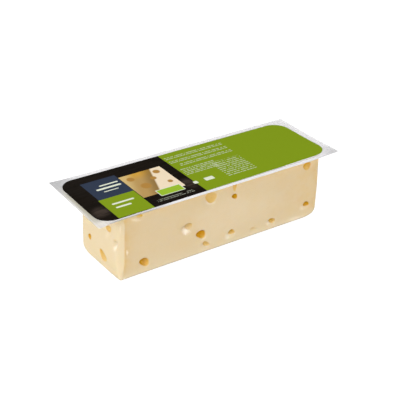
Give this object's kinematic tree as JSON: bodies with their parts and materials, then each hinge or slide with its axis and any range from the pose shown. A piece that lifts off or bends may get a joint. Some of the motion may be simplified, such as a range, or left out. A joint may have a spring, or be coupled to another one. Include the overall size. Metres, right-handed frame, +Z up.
{
  "type": "emmental block in a vacuum pack",
  "caption": "Long block of emmental with round eyes, in a clear deep-drawn vacuum pack with a flat sealing flange and a printed label.",
  "frame": {"origin": "on the table, under the middle of the sealing flange", "axes": "+X along the pack's length, away from the longer overhang of the flange; +Z up; the shown long face looks along -Y"},
  "size_m": [0.3571, 0.119, 0.096],
  "materials": {
    "cheese": "food, not plastic: pale ivory-yellow emmental, smooth and slightly translucent, deeper yellow inside the eyes and at the edges",
    "formed_film": "clear glossy deep-drawn film, tight on the cheese, milky where it is sealed in the flange",
    "lid_film": "clear glossy flat film, milky where it is sealed",
    "label": "satin printed label, green over its right part and black over its left part, with plain coloured panels"
  },
  "bodies": {
    "root": {"cheese_block": "cheese", "formed_film": "formed_film", "lid_film": "lid_film", "label": "label"}
  },
  "joints": []
}
